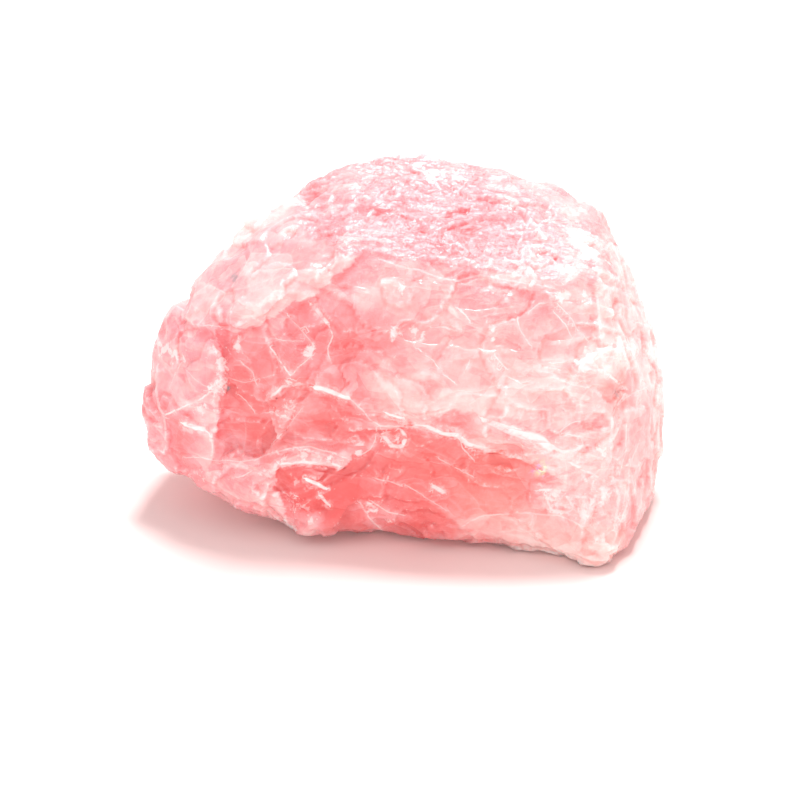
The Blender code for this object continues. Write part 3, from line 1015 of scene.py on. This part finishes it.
def veils(tree, field):
    """The milky veils within the stone, in patches, and the steps of the sheets among them."""
    strands = thin_line(tree, field["strand"], 0.035)
    strands = product(tree, strands, limits(tree, field["patch"], 0.44, 0.58))
    threads = thin_line(tree, field["thread"], 0.05)
    threads = product(tree, threads, limits(tree, field["cloud"], 0.48, 0.62))
    sheets = rest_of(tree, limits(tree, field["sheet"], 0.52, 0.6))
    sheets = product(tree, limits(tree, field["sheet"], 0.5, 0.515), sheets)
    edges = cell_edges(tree, field["angled"], BIG_BREAK, EDGE_WIDTH)
    edges = product(tree, edges, limits(tree, field["patch"], 0.5, 0.6))
    veil = total_of(tree, maths(tree, "MULTIPLY", threads, 0.11), (strands, 0.13))
    fewer = maths(tree, "MULTIPLY_ADD", limits(tree, field["rough"], 0.05, 0.5), 0.45, 0.45)
    return total_of(tree, product(tree, veil, fewer), (sheets, 0.12), (edges, 0.1)), sheets


def quartz():
    """The one material: translucent quartz with its zones, cracked lines, crumbled spots, smudges
    and breaks, and its painted glints, sheen and shade.
    """
    material = bpy.data.materials.new("rose_quartz")
    material.use_nodes = True
    tree = material.node_tree
    shader = tree.nodes["Principled BSDF"]
    field = fields(tree)
    rough = field["rough"]
    smooth = rest_of(tree, rough)
    streaked = field["streaked"]
    crack_and_glint, sheen_halo = cracks_and_glints(tree, field)
    veil, sheets = veils(tree, field)
    big_breaks, big_facet_shade = facets(tree, field["angled"], BIG_BREAK)
    small_breaks, small_facet_shade = facets(tree, field["angled"], SMALL_BREAK)
    fine_breaks, _ = facets(tree, field["place"], FINE_BREAK)

    # How pink: the zones, mottled, with the streaks, scales, bands and veils, and a painted shade
    # on each tilted facet.
    tone = total_of(
        tree,
        field["pink"],
        (field["cloud_swing"], maths(tree, "MULTIPLY_ADD", rough, 0.4, 0.26)),
        (field["patch_swing"], 0.24),
        (big_facet_shade, 0.16),
        (small_facet_shade, 0.11),
        (field["fine_swing"], maths(tree, "MULTIPLY_ADD", rough, 0.16, 0.26)),
        (field["streak_swing"], maths(tree, "MULTIPLY", streaked, 0.5)),
        # The scales also paint shade, darkening towards each of the top's shallow steps.
        (field["scales_swing"], maths(tree, "MULTIPLY", streaked, 0.16)),
        (field["stripe_swing"], maths(tree, "MULTIPLY", field["striped"], 0.35)),
    )
    tone = maths(tree, "SUBTRACT", tone, product(tree, veil, rest_of(tree, streaked)))
    body = mix(tree, field["warm"], ramp(tree, tone, COOL_TONES), ramp(tree, tone, WARM_TONES))

    # White where it's cracked, crumbled or chipped, painted highlights where a mark or spot is a
    # glint, and painted sheen around the marks.
    crumbs_and_glints = total_of(tree, field["white"], (field["fine_swing"], 1.9), (field["cloud_swing"], 0.8))
    crumbs_and_glints = limits(tree, crumbs_and_glints, 0.35, 0.75)
    chipped = limits(tree, maths(tree, "SUBTRACT", field["ridge"], field["fine"]), 0.0, 0.3)
    chipped = product(tree, chipped, 0.3)
    white = largest(tree, product(tree, crack_and_glint, 0.85), chipped, product(tree, crumbs_and_glints, 0.7), sheen_halo)
    body = mix(tree, white, body, CRUMB_AND_GLINT_WHITE)
    # Grey in the smudges and specks, and painted shade in the notch.
    smudge_and_notch_shade = limits(tree, total_of(tree, field["grey"], (field["fine_swing"], 0.6)), 0.1, 0.9)
    body = mix(tree, smudge_and_notch_shade, body, SMUDGE_AND_SHADE_GREY)

    # A small crack inside that splits the light into colours.
    tints = add(tree, "ShaderNodeTexVoronoi", {"Vector": field["place"], "Scale": 1700})
    tints = mix(tree, 0.45, tints.outputs["Color"], RAINBOW_PALE)
    glints = product(tree, field["rainbow"], limits(tree, field["fine"], 0.4, 0.55))
    tree.links.new(mix(tree, glints, body, tints), shader.inputs["Base Color"])

    frost = maths(tree, "MULTIPLY_ADD", limits(tree, field["cloud"], 0.4, 0.62), 0.14, 0.08)
    tree.links.new(total_of(tree, frost, (rough, 0.12)), shader.inputs["Roughness"])
    shader.inputs["IOR"].default_value = QUARTZ_IOR
    shader.inputs["Subsurface Weight"].default_value = 1.0
    shader.inputs["Subsurface Radius"].default_value = GLOW_SPREAD
    shader.inputs["Subsurface Scale"].default_value = GLOW_DEPTH

    # The finest relief, which is too small for the mesh.
    height = total_of(
        tree,
        product(tree, field["fine"], maths(tree, "MULTIPLY_ADD", rough, 0.65, 0.14)),
        (field["streak"], maths(tree, "MULTIPLY", streaked, 0.35)),
        (field["scales"], maths(tree, "MULTIPLY", streaked, 0.2)),
        (field["grain"], maths(tree, "MULTIPLY", rough, 0.25)),
        (fine_breaks, maths(tree, "MULTIPLY", rough, 0.7)),
        (big_breaks, maths(tree, "MULTIPLY", smooth, 0.7)),
        (small_breaks, 0.35),
        (sheets, 0.25),
        (field["stripe"], maths(tree, "MULTIPLY", field["striped"], 0.2)),
        (largest(tree, crack_and_glint, crumbs_and_glints), 0.35),
    )
    relief = {"Height": height, "Strength": RELIEF_STRENGTH, "Distance": RELIEF_DEPTH}
    bump = add(tree, "ShaderNodeBump", relief)
    tree.links.new(bump.outputs["Normal"], shader.inputs["Normal"])
    return material


# ------------------------ the studio


def soft_light(name, place, size, power):
    """A square soft light that faces the stone."""
    lamp = bpy.data.lights.new(name, "AREA")
    lamp.size = size
    lamp.energy = power
    made = bpy.data.objects.new(name, lamp)
    made.location = place
    towards = Vector(LIT_POINT) - Vector(place)
    made.rotation_euler = towards.to_track_quat("-Z", "Y").to_euler()
    bpy.context.scene.collection.objects.link(made)


def paper_floor():
    """A sheet of pale pink paper, flat under the stone: in the stone's shadows its pink is painted
    light that has come through the quartz.
    """
    bm = bmesh.new()
    bmesh.ops.create_grid(bm, x_segments=1, y_segments=1, size=FLOOR_REACH)
    mesh = bpy.data.meshes.new("floor")
    bm.to_mesh(mesh)
    bm.free()
    paper = bpy.data.materials.new("pale_pink_paper")
    paper.use_nodes = True
    shader = paper.node_tree.nodes["Principled BSDF"]
    shader.inputs["Base Color"].default_value = PAPER_PALE_PINK
    shader.inputs["Roughness"].default_value = PAPER_ROUGHNESS
    shader.inputs["Specular IOR Level"].default_value = 0.0
    mesh.materials.append(paper)
    floor = bpy.data.objects.new("floor", mesh)
    bpy.context.scene.collection.objects.link(floor)


def studio():
    """The white room, its lights, the floor and the camera."""
    world = bpy.data.worlds.new("white_room")
    world.use_nodes = True
    background = world.node_tree.nodes["Background"]
    background.inputs["Color"].default_value = (1, 1, 1, 1)
    background.inputs["Strength"].default_value = ROOM_LIGHT
    scene = bpy.context.scene
    scene.world = world
    scene.view_settings.view_transform = "Standard"
    for name, settings in LIGHTS.items():
        soft_light(name, *settings)
    paper_floor()

    lens = bpy.data.cameras.new("camera")
    lens.lens = LENS
    lens.sensor_width = SENSOR
    lens.clip_start = NEAREST_SEEN
    camera = bpy.data.objects.new("camera", lens)
    camera.location = EYE * METRES_PER_MM
    camera.rotation_euler = Vector(INTO).to_track_quat("-Z", "Y").to_euler()
    scene.collection.objects.link(camera)
    scene.camera = camera


def make_stone(solid):
    """The dressed stone: the solid's own shape, broken up, with the quartz on it."""
    rng = np.random.default_rng(SEED)
    stone = fine_copy(solid)
    surface = Surface(stone.data)
    middles, measures = place_zones(stone)
    fill_grooves(surface, GROOVE_ROUNDS)
    break_ledges(surface)
    surface = remeshed(stone)
    fill_grooves(surface, GROOVE_ROUNDS)
    fill_pits(surface)
    pink, warm, rough = zone_values(surface.points, middles, measures).T
    pink = part_zones(surface, pink)
    streaked = streaked_part(surface, rough)
    strike_faces_and_ridges(surface, rng)
    fill_grooves(surface, LAST_GROOVE_ROUNDS)
    fill_pits(surface)
    roughen(surface, rng, rough, streaked)
    spotted = [spots(surface, table) for table in (WHITES, GREYS, STRIPES, RAINBOWS)]
    kept = (pink, warm, rough, streaked, ridges(surface), *spotted, *marks(surface))
    for name, values in zip(VALUES, kept):
        write_value(stone.data, name, values)
    stone.data.transform(Matrix.Scale(METRES_PER_MM, 4))
    stone.data.shade_smooth()
    stone.data.materials.clear()
    stone.data.materials.append(quartz())
    return stone


def main():
    """Dresses the solid and sets up the studio."""
    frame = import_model()
    stone = make_stone(frame["nodes"][SOLID])
    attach(stone, "root")
    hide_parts(SOLID)
    studio()


main()
